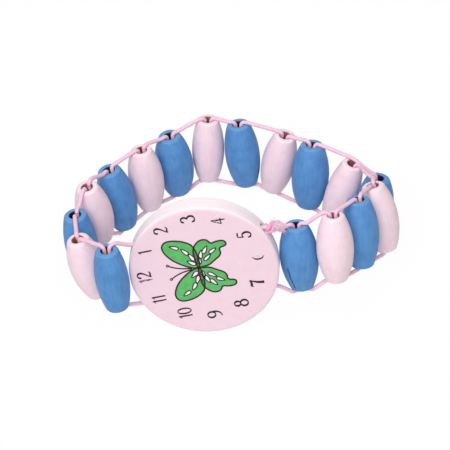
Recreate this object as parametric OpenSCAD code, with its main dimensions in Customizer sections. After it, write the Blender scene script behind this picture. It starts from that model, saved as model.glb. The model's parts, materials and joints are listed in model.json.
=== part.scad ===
// A child's toy watch: a round wooden dial and a band of barrel beads, strung on one elastic cord.
// The watch stands on its side on a level surface at z = 0, as it was laid down: the dial's lower
// edge and the cord under the lowest beads touch the surface, so the band leans back a little.

/* [Dial] */
// Diameter of the round dial
dial_d = 32.6; // [28:0.1:40]
// Thickness of the dial
dial_t = 4.8; // [4:0.1:8]
// Rounding of the dial's two edges
dial_edge_r = 0.7; // [0.4:0.1:1.6]
// Diameter of the two holes through the dial that the elastic runs in
hole_d = 2; // [1.5:0.1:2.6]
// How far inside the level of the beads' ends the two holes lie
hole_inset = 0.3; // [0:0.1:2]
// Degrees that the dial's face tips up against the band
dial_nod = 5.5; // [0:0.5:8]
// Degrees that the dial has turned round in its own plane, its right side up
dial_spin = 8.5; // [-10:0.5:10]

/* [Beads] */
// Length of a bead
bead_l = 16; // [13:0.1:19]
// Diameter of a blue bead at its middle
blue_d = 8.4; // [6.5:0.1:10]
// Diameter of a blue bead at its ends
blue_end_d = 5; // [4.5:0.1:6]
// Diameter of a pink bead at its middle
pink_d = 8.1; // [6.5:0.1:10]
// Diameter of a pink bead at its ends
pink_end_d = 4.7; // [4.4:0.1:6]
// Rounding of the edge round a bead's end
bead_edge_r = 0.6; // [0.2:0.05:0.7]
// Diameter of the bore through a bead
bore_d = 2.4; // [2.2:0.1:2.8]
// Rounding of the bore's two mouths
mouth_r = 0.3; // [0.1:0.05:0.35]
// Least gap between neighbouring beads
bead_gap = 0.15; // [0.1:0.05:0.6]
// Gap between the dial and the bead on each side of it
dial_gap = 0.15; // [0.1:0.05:0.6]

/* [Elastic] */
// Diameter of the elastic cord
cord_d = 0.9; // [0.7:0.05:1]
// Gap between a strand and the bead or the other strand beside it
cord_clear = 0.1; // [0.05:0.01:0.15]
// Length of the knot's longer loose tail
long_tail = 3.2; // [2:0.1:6]
// Length of the knot's shorter loose tail
short_tail = 2.8; // [2:0.1:6]

/* [Hidden] */
$fn = 64;
overrun = 1;

bead_count = 17;
numbers = [1 : bead_count];
is_blue = [for (i = [0 : bead_count]) i % 2 == 1];
bead_names = [for (i = numbers) str(is_blue[i] ? "blue_bead_" : "pink_bead_", i)];
cord_names = [for (i = numbers) str("elastic_", i)];

dial_r = dial_d / 2;
hole_r = hole_d / 2;
bore_r = bore_d / 2;
cord_r = cord_d / 2;
half_l = bead_l / 2;
hole_height = half_l - hole_inset;
// Half the length of each hole, which ends at the dial's round rim
hole_half_l = sqrt(dial_r * dial_r - hole_height * hole_height);

// The way to each next piece, in degrees, from the dial to bead 1, round the back to bead 17,
// and home to the dial: 180 is to the left and 90 is to the back.
step_angles = [-170, 136, 105, 71, 59, 41, 45, 22, -9, -12, -32, -30, -32, -81, -121, -131, 167, 189];
// Degrees that the top of each bead leans to the right, and to the back, against the band
side_leans = [-5, -13, -6, -8, -10, -5, -5, 2, -5, 12, 4, 18, 7, -11, -3, -2, -4];
back_leans = [0, -1, 0, -5, 0, 1, -1, 3, 4, -3, 6, 2, 6, 11, 12, 9, 6];
// How far each bead has slipped up or down the band, as a share of its length
rise_shares = [-0.04, -0.11, -0.09, 0.065, -0.035, 0.04, 0.008, 0.12, 0.09, 0.02, 0, -0.09, -0.175,
               0.07, 0.165, 0.225, -0.01];
// How thick each bead was turned, as a share of its colour's size
girth_shares = [0.89, 1.01, 0.89, 1.01, 1, 0.99, 1.04, 0.92, 0.95, 0.96, 1.02, 0.91, 1.05, 1.02, 0.98,
                1.01, 1.02];

// Vectors
function unit(v) = v / norm(v);
function across(v, a) = v - (v * a) * a;
function way(angle) = [cos(angle), sin(angle), 0];
function total(list, k = 0) = k == len(list) - 1 ? list[k] : list[k] + total(list, k + 1);

// Beads: the side of a barrel is one round arc from end to end
function mid_r(i) = (is_blue[i] ? blue_d : pink_d) / 2 * girth_shares[i - 1];
function end_r(i) = (is_blue[i] ? blue_end_d : pink_end_d) / 2;
function arc_r(i) = let (sag = mid_r(i) - end_r(i)) (half_l * half_l + sag * sag) / (2 * sag);
function side_r(i, t) = mid_r(i) - arc_r(i) + sqrt(arc_r(i) * arc_r(i) - t * t);
function axis(i) = unit([tan(side_leans[i - 1]), tan(back_leans[i - 1]), 1]);
function rise(i) = rise_shares[i - 1] * bead_l;

// Least gap between the sides of beads i and i + 1, whose middles lie this far apart
station_parts = 4;
stations = [-station_parts : station_parts];
function side_gap(i, apart) = min([
    for (s = stations) for (t = stations)
        let (u = s / station_parts * half_l, v = t / station_parts * half_l)
        norm(apart + v * axis(i + 1) - u * axis(i)) - side_r(i, u) - side_r(i + 1, v)
]);
// Step from bead i to bead i + 1 at which they are just the named gap apart, however they lean
function bead_step(i, step, tries = 5) =
    tries == 0 ? step
    : let (apart = step * way(step_angles[i]) + [0, 0, rise(i + 1) - rise(i)])
      bead_step(i, step + bead_gap - side_gap(i, apart), tries - 1);
function end_step(i) = dial_r + mid_r(i) + dial_gap;
steps = concat(
    [end_step(1)],
    [for (i = [1 : bead_count - 1]) bead_step(i, mid_r(i) + mid_r(i + 1) + bead_gap)],
    [end_step(bead_count)]
);

// The ring closes: the smallest changes of the angles that bring the last step home to the dial
function miss(angles) = total([for (k = [0 : bead_count]) steps[k] * way(angles[k])]);
function closing(angles, tries = 4) =
    tries == 0 ? angles
    : let (
        left = miss(angles),
        turns = [for (k = [0 : bead_count]) steps[k] * [-sin(angles[k]), cos(angles[k])]],
        xx = total([for (t = turns) t.x * t.x]),
        xy = total([for (t = turns) t.x * t.y]),
        yy = total([for (t = turns) t.y * t.y]),
        pull = [yy * left.x - xy * left.y, xx * left.y - xy * left.x] / (xx * yy - xy * xy)
      )
      closing([for (k = [0 : bead_count]) angles[k] - (turns[k] * pull) * 180 / PI], tries - 1);
way_angles = closing(step_angles);
// Middles of the dial and of the beads in the band's own frame, its beads upright
middles = concat(
    [[0, 0, 0]],
    [for (i = numbers) total([for (k = [0 : i - 1]) steps[k] * way(way_angles[k])]) + [0, 0, rise(i)]]
);

// The dial's own frame: x along its holes, y to its back, z up its face
function spun(v) = let (c = cos(dial_spin), s = sin(dial_spin)) [c * v.x - s * v.z, v.y, s * v.x + c * v.z];
function nod(v) = let (c = cos(dial_nod), s = sin(dial_nod)) [v.x, c * v.y + s * v.z, c * v.z - s * v.y];
function hole_point(x, top) = nod(spun([x, 0, top * hole_height]));
mouth_x = hole_half_l + cord_r;

// The elastic: top is 1 or -1, and side is -1 towards the piece before and 1 towards the next
inset = bore_r - cord_clear - cord_r;
// Where a strand leaves the dial, or lies over the middle of a bead's end
function level_point(i, top) =
    i == 0 ? hole_point(-mouth_x, top)
    : i > bead_count ? hole_point(mouth_x, top)
    : middles[i] + top * (half_l + cord_clear + cord_r) * axis(i);
function to_next(i, top, side) = level_point(i + side, top) - level_point(i, top);
function outward(i, top, side) = unit(across(to_next(i, top, side), axis(i)));
// A strand turns over the bore's mouth, runs level to the bead's rounded edge, and turns there again
function turn_point(i, top, side) = level_point(i, top) + inset * outward(i, top, side);
function flat_end(i, top, side) =
    level_point(i, top) + (end_r(i) - bead_edge_r + cord_clear) * outward(i, top, side);
function edge_reach(i) = i == 0 || i > bead_count ? 0 : end_r(i);
function slope(i, top, side) =
    let (run = to_next(i, top, side), flat = norm(across(run, axis(i))) - end_r(i) - edge_reach(i + side))
    atan(abs(run * axis(i)) / flat);
edge_turn_r = bead_edge_r + cord_clear + cord_r;
function edge_point(i, top, side) =
    flat_end(i, top, side) + edge_turn_r * tan(slope(i, top, side) / 2) * outward(i, top, side);
function gap_start(i, top) = i == 0 ? level_point(0, top) : edge_point(i, top, 1);
function gap_end(i, top) = i == bead_count ? level_point(i + 1, top) : edge_point(i + 1, top, -1);
// Where the strands of two pieces meet: in the middle of a gap, but before the knot where that is
function meeting(i, top) =
    i == bead_count && top == 1 ? knot_from + meeting_run * unit(knot_run)
    : (gap_start(i, top) + gap_end(i, top)) / 2;
// The strands cross in a bore, where they run side by side through its middle half
crossing_share = 0.5;
function crossing(i, top, level) =
    let (
        on = unit(across(to_next(i, 1, 1), axis(i))), from = unit(across(to_next(i, 1, -1), axis(i))),
        over = unit(on - from)
    )
    middles[i] + level * crossing_share * half_l * axis(i)
    + top * (cord_r + cord_clear / 2) * cross(axis(i), over)
    - top * level * crossing_share * inset * over;
function strand(i, top) = [
    meeting(i - 1, top), edge_point(i, top, -1), turn_point(i, top, -1), crossing(i, top, top),
    crossing(i, top, -top), turn_point(i, -top, 1), edge_point(i, -top, 1), meeting(i, -top)
];
turn_r = mouth_r + cord_clear + cord_r;
easy_r = 4 * cord_d;
hole_turn_r = 1.8 * cord_d;
strand_turns = [edge_turn_r, turn_r, easy_r, easy_r, turn_r, edge_turn_r];
// Sides of the cord's rings, and the most that it turns from one ring to the next
cord_sides = 8;
bend_part = 24;

// The knot sits on the top strand between the dial and the last bead
wraps = 3;
knot_l = wraps * cord_d;
knot_r = 2.4 * cord_r;
knot_from = hole_point(mouth_x, 1);
knot_run = edge_point(bead_count, 1, 1) - knot_from;
// How far from the dial its strand ends, and how much farther the knot begins
meeting_run = 0.7 * cord_d;
knot_clear = 0.2 * cord_d;
knot_middle = knot_from + (meeting_run + knot_clear + knot_l / 2) * unit(knot_run);
tail_r = 0.9 * cord_r;

// Standing: the band leans back until the dial and the lowest strands touch the surface
function lean_back(v, a) = [v.x, v.y * cos(a) + v.z * sin(a), v.z * cos(a) - v.y * sin(a)];
// How far each piece reaches along a direction
function dial_reach(u) =
    let (n = nod([0, -1, 0]) * u, rim = dial_r - dial_edge_r, half_t = dial_t / 2 - dial_edge_r)
    rim * sqrt(1 - n * n) + half_t * abs(n) + dial_edge_r;
function bead_reach(i, u) =
    let (n = axis(i) * u, flat = sqrt(max(0, 1 - n * n)))
    middles[i] * u + max(mid_r(i) * flat, half_l * abs(n) + (end_r(i) - bead_edge_r) * flat);
function strand_reach(i, u) =
    max([for (top = [-1, 1]) for (p = [flat_end(i, top, -1), flat_end(i, top, 1)]) p * u]) + cord_r;
function band_reach(u) = max([for (i = numbers) max(bead_reach(i, u), strand_reach(i, u))]);
function reach(u) = max(dial_reach(u), band_reach(u));
function down(a) = [0, sin(a), -cos(a)];
function unlevel(a) = band_reach(down(a)) - dial_reach(down(a));
function settled(a, b, tries = 6) =
    let (ua = unlevel(a), ub = unlevel(b))
    tries == 0 || abs(ub - ua) < 1e-9 ? b : settled(b, b - ub * (b - a) / (ub - ua), tries - 1);
first_tilts = [8, 14];
tilt = settled(first_tilts[0], first_tilts[1]);
right = [1, 0, 0];
back = [0, cos(tilt), sin(tilt)];
stand = [
    (reach(-right) - reach(right)) / 2,
    (reach(-back) - reach(back)) / 2,
    reach(down(tilt))
];
function place(v) = lean_back(v, tilt) + stand;

// Frames
function basis(z, x) = let (y = cross(z, x)) [
    [x.x, y.x, z.x, 0], [x.y, y.y, z.y, 0], [x.z, y.z, z.z, 0], [0, 0, 0, 1]
];
function side_of(z) = unit(cross(z, abs(z.x) < 0.9 ? right : [0, 1, 0]));
module facing(point, z) { translate(point) multmatrix(basis(z, side_of(z))) children(); }
module standing() { translate(stand) rotate([-tilt, 0, 0]) children(); }

// A cord along straight runs, its corners turned on arcs of the given radii: rings of points on
// the route, each with its direction, joined into one closed skin
function bend_at(p, k) = acos(min(1, unit(p[k] - p[k - 1]) * unit(p[k + 1] - p[k])));
function bend_rings(p, radii, k) =
    let (
        before = unit(p[k] - p[k - 1]), after = unit(p[k + 1] - p[k]), angle = bend_at(p, k),
        centre = p[k] + radii[k - 1] / cos(angle / 2) * unit(after - before),
        in = unit(across(after, before)), count = max(1, round(angle / bend_part))
    )
    [for (n = [0 : count]) let (a = angle * n / count)
        [centre + radii[k - 1] * (sin(a) * before - cos(a) * in), cos(a) * before + sin(a) * in]];
function rings(p, radii) = let (last = len(p) - 1) concat(
    [[p[0], unit(p[1] - p[0])]],
    [for (k = [1 : last - 1]) each bend_rings(p, radii, k)],
    [[p[last], unit(p[last] - p[last - 1])]]
);
// Direction across each ring, carried along the route without twist
function carried(rows, so_far) =
    len(so_far) == len(rows) ? so_far
    : carried(rows, concat(so_far, [unit(across(so_far[len(so_far) - 1], rows[len(so_far)][1]))]));
module cord(p, radii) {
    rows = rings(p, radii);
    sides = carried(rows, [side_of(rows[0][1])]);
    n = cord_sides;
    points = [for (k = [0 : len(rows) - 1]) for (s = [0 : n - 1]) let (a = 360 * s / n)
        rows[k][0] + cord_r * (cos(a) * sides[k] + sin(a) * cross(rows[k][1], sides[k]))];
    walls = [for (k = [0 : len(rows) - 2]) for (s = [0 : n - 1])
        let (a = k * n + s, b = k * n + (s + 1) % n) each [[a, a + n, b + n], [a, b + n, b]]];
    first = [for (s = [0 : n - 1]) s];
    last = [for (s = [n - 1 : -1 : 0]) (len(rows) - 1) * n + s];
    polyhedron(points = points, faces = concat([first], walls, [last]));
}

// Round bead, its bore along z: the barrel's arc runs smoothly into the rounded end
module bead_outline(i) {
    c = mid_r(i) - arc_r(i);
    edge_x = c + sqrt(pow(arc_r(i) - bead_edge_r, 2) - pow(half_l - bead_edge_r, 2));
    edge_a = asin((half_l - bead_edge_r) / (arc_r(i) - bead_edge_r));
    side = [for (k = [0 : 14]) let (a = edge_a * k / 14) [c + arc_r(i) * cos(a), arc_r(i) * sin(a)]];
    shoulder = [for (k = [1 : 5]) let (a = edge_a + (90 - edge_a) * k / 5)
        [edge_x + bead_edge_r * cos(a), half_l - bead_edge_r + bead_edge_r * sin(a)]];
    mouth = [for (k = [0 : 4]) let (a = 90 + 90 * k / 4)
        [bore_r + mouth_r + mouth_r * cos(a), half_l - mouth_r + mouth_r * sin(a)]];
    upper = concat(side, shoulder, mouth);
    lower = [for (k = [len(upper) - 1 : -1 : 1]) [upper[k].x, -upper[k].y]];
    polygon(concat(upper, lower));
}

module bead(i) {
    color(is_blue[i] ? [0.33, 0.54, 0.78] : [0.93, 0.81, 0.86])
    standing() facing(middles[i], axis(i)) rotate_extrude() bead_outline(i);
}

// Stretch of elastic in bead i, with its halves of the gaps on both sides
module elastic(i) {
    color([0.95, 0.76, 0.86])
    standing() for (top = [-1, 1]) cord(strand(i, top), strand_turns);
}

module elastic_dial() {
    color([0.95, 0.76, 0.86])
    standing() for (top = [-1, 1]) cord(
        [meeting(0, top), hole_point(-mouth_x, top), hole_point(mouth_x, top), meeting(bead_count, top)],
        [hole_turn_r, hole_turn_r]
    );
}

module dial_outline() {
    translate([0, -dial_t / 2]) square([dial_r - dial_edge_r, dial_t]);
    translate([0, dial_edge_r - dial_t / 2]) square([dial_r, dial_t - 2 * dial_edge_r]);
    for (side = [-1, 1])
        translate([dial_r - dial_edge_r, side * (dial_t / 2 - dial_edge_r)]) circle(r = dial_edge_r);
}

module dial() {
    color([0.95, 0.82, 0.88])
    standing() rotate([-dial_nod, 0, 0]) rotate([0, -dial_spin, 0]) difference() {
        rotate([90, 0, 0]) rotate_extrude() dial_outline();
        for (top = [-1, 1])
            translate([-dial_r - overrun, 0, top * hole_height]) rotate([0, 90, 0])
                cylinder(r = hole_r, h = dial_d + 2 * overrun);
    }
}

// A loose tail that leaves the knot sideways and ends round
module tail(along, turn, rake, length) {
    translate([0, 0, along]) rotate([0, 0, turn]) translate([knot_r - tail_r, 0, 0])
        rotate([0, rake, 0]) {
            sphere(r = tail_r);
            cylinder(r = tail_r, h = length);
            translate([0, 0, length]) sphere(r = tail_r);
        }
}

module knot() {
    wrap_x = knot_r - cord_r;
    outline = [for (w = [0 : wraps - 1]) for (k = [0 : 6])
        [wrap_x + cord_r * sin(30 * k), (w + 0.5 - wraps / 2) * cord_d - cord_r * cos(30 * k)]];
    color([0.96, 0.78, 0.88])
    standing() facing(knot_middle, unit(knot_run)) difference() {
        union() {
            rotate_extrude() polygon(concat([[0, -knot_l / 2]], outline, [[0, knot_l / 2]]));
            tail(cord_r, -40, 35, long_tail);
            tail(-cord_r, -80, 60, short_tail);
        }
        translate([0, 0, -knot_l]) cylinder(r = cord_r + cord_clear, h = 2 * knot_l);
    }
}

dial();
elastic_dial();
knot();
for (i = numbers) {
    bead(i);
    elastic(i);
}
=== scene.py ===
# %% [markdown]
# # A child's toy watch in Blender
# The real toy is a round wooden dial on a band of 17 barrel beads, blue and pale pink in turn, strung on
# one thin elastic cord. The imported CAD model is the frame: it says where every bead, hole and strand is.
# This lesson dresses that frame. Each new surface is a numpy grid laid over the CAD part's own place, so
# nothing has to be fitted by eye, and each finish is a small node tree.

# %% Load the frame
import json
import math

import bmesh
import bpy
import numpy as np
from mathutils import Matrix


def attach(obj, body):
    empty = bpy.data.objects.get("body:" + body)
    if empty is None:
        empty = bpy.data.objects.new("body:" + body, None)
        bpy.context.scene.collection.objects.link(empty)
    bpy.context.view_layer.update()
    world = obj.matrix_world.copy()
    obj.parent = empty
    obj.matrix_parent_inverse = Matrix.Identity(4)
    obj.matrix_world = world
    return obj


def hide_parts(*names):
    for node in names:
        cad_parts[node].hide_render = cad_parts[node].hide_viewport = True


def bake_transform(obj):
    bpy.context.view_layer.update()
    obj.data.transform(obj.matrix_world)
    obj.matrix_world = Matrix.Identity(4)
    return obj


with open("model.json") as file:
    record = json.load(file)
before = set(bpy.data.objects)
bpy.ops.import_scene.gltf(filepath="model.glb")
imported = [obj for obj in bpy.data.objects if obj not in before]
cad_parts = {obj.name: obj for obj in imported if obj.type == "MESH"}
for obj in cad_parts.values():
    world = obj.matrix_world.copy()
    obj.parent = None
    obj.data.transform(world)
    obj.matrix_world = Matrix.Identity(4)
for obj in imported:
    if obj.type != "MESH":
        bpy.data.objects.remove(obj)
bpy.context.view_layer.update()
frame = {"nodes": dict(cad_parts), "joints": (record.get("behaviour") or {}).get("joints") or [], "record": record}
rng = np.random.default_rng(7)
MM = 0.001

# %% [markdown]
# ## The camera
# The photo looks down on the standing watch from the front. Its viewing point came from matching the
# beads' ends and the dial's outline, so the camera is given as a place, three angles and a lens. A long
# lens from over half a metre keeps the near and far beads at almost one scale, as in the photo.

# %% Camera
camera_point = np.array([30.43, -374.69, 471.78]) * MM
camera_azimuth, camera_elevation, camera_roll = np.radians([-4.913, 50.948, -4.210])
camera_lens = 214.1


def camera_axes(azimuth, elevation, roll):
    """Rows right, up and forward: forward looks along the azimuth and down by the elevation, and roll
    turns right and up about it."""
    forward = np.array([
        math.sin(azimuth) * math.cos(elevation), math.cos(azimuth) * math.cos(elevation),
        -math.sin(elevation)])
    level = np.array([math.cos(azimuth), -math.sin(azimuth), 0.0])
    above = np.cross(level, forward)
    right = math.cos(roll) * level + math.sin(roll) * above
    up = -math.sin(roll) * level + math.cos(roll) * above
    return right, up, forward


def linked(name, data):
    """A new object that holds the data, linked to the scene."""
    made = bpy.data.objects.new(name, data)
    bpy.context.scene.collection.objects.link(made)
    return made


def turned_to(x, y, z, place):
    """The matrix whose columns are an object's own three axes and the place of its origin."""
    whole = np.eye(4)
    whole[:3] = np.stack([x, y, z, place], -1)
    return Matrix(whole.tolist())


right, up, forward = camera_axes(camera_azimuth, camera_elevation, camera_roll)
camera = linked("camera", bpy.data.cameras.new("camera"))
camera.data.lens = camera_lens
camera.data.sensor_width = 36
camera.data.clip_start = 0.01
camera.data.clip_end = 20
camera.matrix_world = turned_to(right, up, -forward, camera_point)
bpy.context.scene.camera = camera
print("camera", camera_point)

# %% [markdown]
# ## Small tools for node trees
# A finish is easier to read when a node is one line: its kind, the values on its sockets, and the sockets
# that feed it. A socket that is given another node's output is linked, and any other value is set.

# %% Node tools


def fill(tree, made, values):
    """Fills a node's inputs, by name or number: an output socket is linked, any other value is set."""
    for key, value in values.items():
        if isinstance(value, bpy.types.NodeSocket):
            tree.links.new(value, made.inputs[key])
        else:
            made.inputs[key].default_value = value
    return made


def node(tree, kind, values=None, **settings):
    """Adds a node of that kind, with its own settings, and fills its inputs."""
    made = tree.nodes.new("ShaderNode" + kind)
    for name, value in settings.items():
        setattr(made, name, value)
    return fill(tree, made, values or {})


def maths(tree, operation, a, b=0.0, c=0.0, clamp=False):
    """One Math node, as its output socket."""
    return node(tree, "Math", {0: a, 1: b, 2: c}, operation=operation, use_clamp=clamp).outputs[0]


def times(tree, a, b):
    """One value multiplied by another."""
    return maths(tree, "MULTIPLY", a, b)


def span(tree, value, low, high, to_low=0.0, to_high=1.0):
    """A value's span from low to high, stretched smoothly to another span."""
    made = node(tree, "MapRange", {"Value": value, "From Min": low, "From Max": high, "To Min": to_low,
                                   "To Max": to_high}, interpolation_type="SMOOTHSTEP")
    return made.outputs["Result"]


def noise(tree, place, scale, detail, roughness=0.5):
    """Cloudy noise at a place."""
    return node(tree, "TexNoise", {"Vector": place, "Scale": scale, "Detail": detail,
                                   "Roughness": roughness}).outputs[0]


def stretched(tree, place, by):
    """A place with each of its three parts multiplied by its own number."""
    return node(tree, "VectorMath", {0: place, 1: by}, operation="MULTIPLY").outputs[0]


def blend_colours(tree, share, first, second):
    """Mixes two colours by a share."""
    return node(tree, "Mix", {0: share, 6: first, 7: second}, data_type="RGBA").outputs[2]


def bumped(tree, height, strength, distance):
    """The surface's normal, tilted by the slope of a height, which reaches over a distance in metres."""
    return node(tree, "Bump", {"Strength": strength, "Distance": distance, "Height": height}).outputs[0]


def mark(tree, name, output):
    """A piece's own attribute, read in its material."""
    return node(tree, "Attribute", attribute_name=name).outputs[output]


def material(name):
    """A new material with its tree and its Principled shader."""
    made = bpy.data.materials.new(name)
    made.use_nodes = True
    return made, made.node_tree, made.node_tree.nodes["Principled BSDF"]


def group(name, inputs, outputs):
    """An empty node group with named inputs and outputs, and the nodes that carry them."""
    tree = bpy.data.node_groups.new(name, "ShaderNodeTree")
    for label, kind in inputs:
        tree.interface.new_socket(label, in_out="INPUT", socket_type="NodeSocket" + kind)
    for label, kind in outputs:
        tree.interface.new_socket(label, in_out="OUTPUT", socket_type="NodeSocket" + kind)
    return tree, tree.nodes.new("NodeGroupInput").outputs, tree.nodes.new("NodeGroupOutput").inputs


def placed(tree, made_group, values):
    """A node group set into a tree with its own values, as its outputs."""
    return node(tree, "Group", values, node_tree=made_group).outputs


def ink(red, green, blue):
    """A colour given as the eye reads it, 0 to 255 for each part, made linear for the shader."""
    share = np.array([red, green, blue]) / 255
    linear = np.where(share <= 0.04045, share / 12.92, ((share + 0.055) / 1.055) ** 2.4)
    return (*linear.tolist(), 1.0)


print("middle grey as a shader reads it", round(ink(128, 128, 128)[0], 3))

# %% [markdown]
# ## The stage
# The photo is cut out on pure white. A pale floor with a matt finish keeps the soft shadow under the
# watch. What the camera sees of it directly is mostly plain white, so the picture's ground is white
# without any more light on the toy.

# %% Floor and light
floor_reach, floor_whiteness, sky_strength = 3.0, 0.97, 0.34
white = (1, 1, 1, 1)


def unit(v):
    """A vector, or an array of them, at length one."""
    return v / np.linalg.norm(v, axis=-1, keepdims=True)


def seen_plainly(tree):
    """One where a ray comes straight from the camera, off a mirror or through glass, and else nought."""
    ray = node(tree, "LightPath").outputs
    seen = maths(tree, "MAXIMUM", ray["Is Camera Ray"], ray["Is Glossy Ray"])
    return maths(tree, "MAXIMUM", seen, ray["Is Transmission Ray"])


def floor_finish():
    """A matt white floor, seen by the camera and in reflections as nearly plain white."""
    made, tree, shader = material("studio_floor")
    fill(tree, shader, {"Base Color": (0.93, 0.93, 0.93, 1), "Roughness": 0.9, "Specular IOR Level": 0.1})
    plain = node(tree, "Emission", {"Color": white, "Strength": 1.0})
    mixed = node(tree, "MixShader", {0: times(tree, seen_plainly(tree), floor_whiteness),
                                     1: shader.outputs[0], 2: plain.outputs[0]})
    tree.links.new(mixed.outputs[0], tree.nodes["Material Output"].inputs["Surface"])
    return made


def soft_lamp(name, place, aim, size, power):
    """A square area lamp at a place in metres. It shines down its own z axis, so z points from the aim to
    the lamp, and x lies level."""
    lamp = linked(name, bpy.data.lights.new(name, "AREA"))
    lamp.data.size = size
    lamp.data.energy = power
    z = unit(np.array(place) - np.array(aim))
    x = unit(np.cross([0, 0, 1.0], z))
    lamp.matrix_world = turned_to(x, np.cross(z, x), z, place)


floor_mesh = bpy.data.meshes.new("floor")
floor_corners = [(x * floor_reach, y * floor_reach, 0) for x, y in ((-1, -1), (1, -1), (1, 1), (-1, 1))]
floor_mesh.from_pydata(floor_corners, [], [(0, 1, 2, 3)])
floor_mesh.materials.append(floor_finish())
floor = linked("floor", floor_mesh)
soft_lamp("key_lamp", (-0.15, -0.5, 0.87), (0, 0, 0.01), 0.8, 7.9)
soft_lamp("top_lamp", (0.005, 0.0, 0.13), (0, 0.005, 0.01), 0.05, 0.03)

world = bpy.data.worlds.new("studio")
world.use_nodes = True
bpy.context.scene.world = world
sky = world.node_tree
fill(sky, sky.nodes["Background"], {"Color": white,
                                    "Strength": span(sky, seen_plainly(sky), 0, 1, sky_strength, 1.0)})
bpy.context.scene.view_settings.view_transform = "Standard"
print("stage ready, sky at", sky_strength)

# %% [markdown]
# ## Surfaces from grids
# Every new piece is a function of two numbers. The points come as one array, rows along the first number
# and columns along the second. A grid may close on itself either way, as a lathe-turned bead does both
# ways. The UV map counts the same two numbers, so a pattern can follow the surface.

# %% Grid surface


def set_mark(mesh, label, value):
    """Gives every point of a mesh its own number, or its own three numbers, under a label."""
    whole = np.asarray(value, np.float32).reshape(-1)
    three = len(whole) > len(mesh.vertices)
    made = mesh.attributes.new(label, "FLOAT_VECTOR" if three else "FLOAT", "POINT")
    made.data.foreach_set("vector" if three else "value", whole)


def surface(name, points, wrap=(False, False), uv=None, marks=None, smooth=True):
    """A mesh object from points (rows, columns, 3) in millimetres. Each face joins four neighbours, and
    a wrapped way also joins its last row or column to the first. uv gives a number for each row edge and
    column edge; marks are extra values for each point. A closed grid is turned to face outwards."""
    rows, columns = points.shape[:2]
    u = np.arange(rows if wrap[0] else rows - 1)
    v = np.arange(columns if wrap[1] else columns - 1)
    a, b = np.meshgrid(u, v, indexing="ij")
    a1, b1 = (a + 1) % rows, (b + 1) % columns
    quads = np.stack([a * columns + b, a1 * columns + b, a1 * columns + b1, a * columns + b1], -1)
    corners = np.stack([np.stack([a, b], -1), np.stack([a + 1, b], -1), np.stack([a + 1, b + 1], -1),
                        np.stack([a, b + 1], -1)], -2)
    quads, corners = quads.reshape(-1, 4), corners.reshape(-1, 4, 2)
    flat = points.reshape(-1, 3)
    p = flat[quads]
    volume = np.einsum("ij,ij->i", p[:, 0] - flat.mean(0), np.cross(p[:, 1] - p[:, 0], p[:, 2] - p[:, 0]))
    if volume.sum() < 0:
        quads, corners = quads[:, ::-1], corners[:, ::-1]
    mesh = bpy.data.meshes.new(name)
    mesh.from_pydata(flat * MM, [], quads.tolist())
    if uv is not None:
        both = np.stack([uv[0][corners[..., 0]], uv[1][corners[..., 1]]], -1)
        mesh.uv_layers.new(name="chart").data.foreach_set("uv", both.reshape(-1).astype(np.float32))
    for label, value in (marks or {}).items():
        set_mark(mesh, label, value)
    mesh.polygons.foreach_set("use_smooth", np.full(len(mesh.polygons), smooth))
    return linked(name, mesh)


def joined(name, parts):
    """Several objects made one, in the order given, under the first one's marks."""
    bpy.ops.object.select_all(action="DESELECT")
    for part in parts:
        part.select_set(True)
    bpy.context.view_layer.objects.active = parts[0]
    if len(parts) > 1:
        bpy.ops.object.join()
    parts[0].name = name
    parts[0].data.name = name
    return parts[0]


def finished(piece, finish, slot, body, *nodes):
    """Gives a piece its finish and body, and hides the CAD nodes that it stands for. slot is not used."""
    piece.data.materials.clear()
    piece.data.materials.append(finish)
    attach(piece, body)
    if nodes:
        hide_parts(*nodes)


# %% [markdown]
# ## Where things are
# The record's joints give each bead's middle and the line of its bore, and the mount on the dial's back
# gives the dial's middle and the way it faces. The names follow the source of the CAD model: d is a
# diameter, r a radius, t a thickness and l a length, in millimetres.

# %% Places
BEADS = 17
dial_d, dial_t, dial_edge_r = 32.6, 4.8, 0.7
hole_r, hole_height = 1.0, 7.7
dial_spin = math.radians(8.5)
half_l, bead_edge_r, bore_r, mouth_r = 8.0, 0.6, 1.2, 0.3
blue_end_r, pink_end_r = 2.5, 2.35
cord_r, cord_clear = 0.45, 0.09

spins = {j["child"]: j for j in frame["joints"] if j["name"].startswith("spin_")}
middle = {i: np.array(spins[f"turning_bead_{i}"]["pos_m"]) / MM for i in range(1, BEADS + 1)}
axis = {i: np.array(spins[f"turning_bead_{i}"]["axis"]) for i in range(1, BEADS + 1)}
bead_name = {i: ("blue_bead_" if i % 2 else "pink_bead_") + str(i) for i in range(1, BEADS + 1)}
end_r = {i: blue_end_r if i % 2 else pink_end_r for i in range(1, BEADS + 1)}


def across(v, a):
    """The part of v that lies square to the unit vector a."""
    return v - (v @ a) * a


back = frame["record"]["mounts"][0]
dial_back = np.array(back["axis"])
dial_middle = np.array(back["pos_m"]) / MM - dial_back * dial_t / 2
level_x = unit(across(np.array([1.0, 0, 0]), dial_back))
face_up = unit(np.cross(level_x, dial_back))
along_holes = math.cos(dial_spin) * level_x + math.sin(dial_spin) * face_up
face_up = math.cos(dial_spin) * face_up - math.sin(dial_spin) * level_x
dial_r = dial_d / 2
print("dial middle", dial_middle.round(2), "faces", (-dial_back).round(3))

# %% [markdown]
# ## The beads' shape
# A wooden bead is turned on a lathe, so one profile says it all: a barrel arc, a small rounded shoulder, a
# flat end, and a soft mouth into the bore. The thickest radius is measured on each bead's CAD node,
# because each was turned a little thicker or thinner. A hand-held tool leaves the turning a trace uneven.

# %% Bead surface
bead_sides = 96
side_points, edge_points, mouth_points, wall_points = 26, 9, 7, 9
two_lobes, three_lobes, ripples = 0.022, 0.014, 0.008
wave_fade = 0.5


def circle(count):
    """Angles once round, evenly, without the last, which is the first again."""
    return np.linspace(0, 2 * np.pi, count, endpoint=False)


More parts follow.
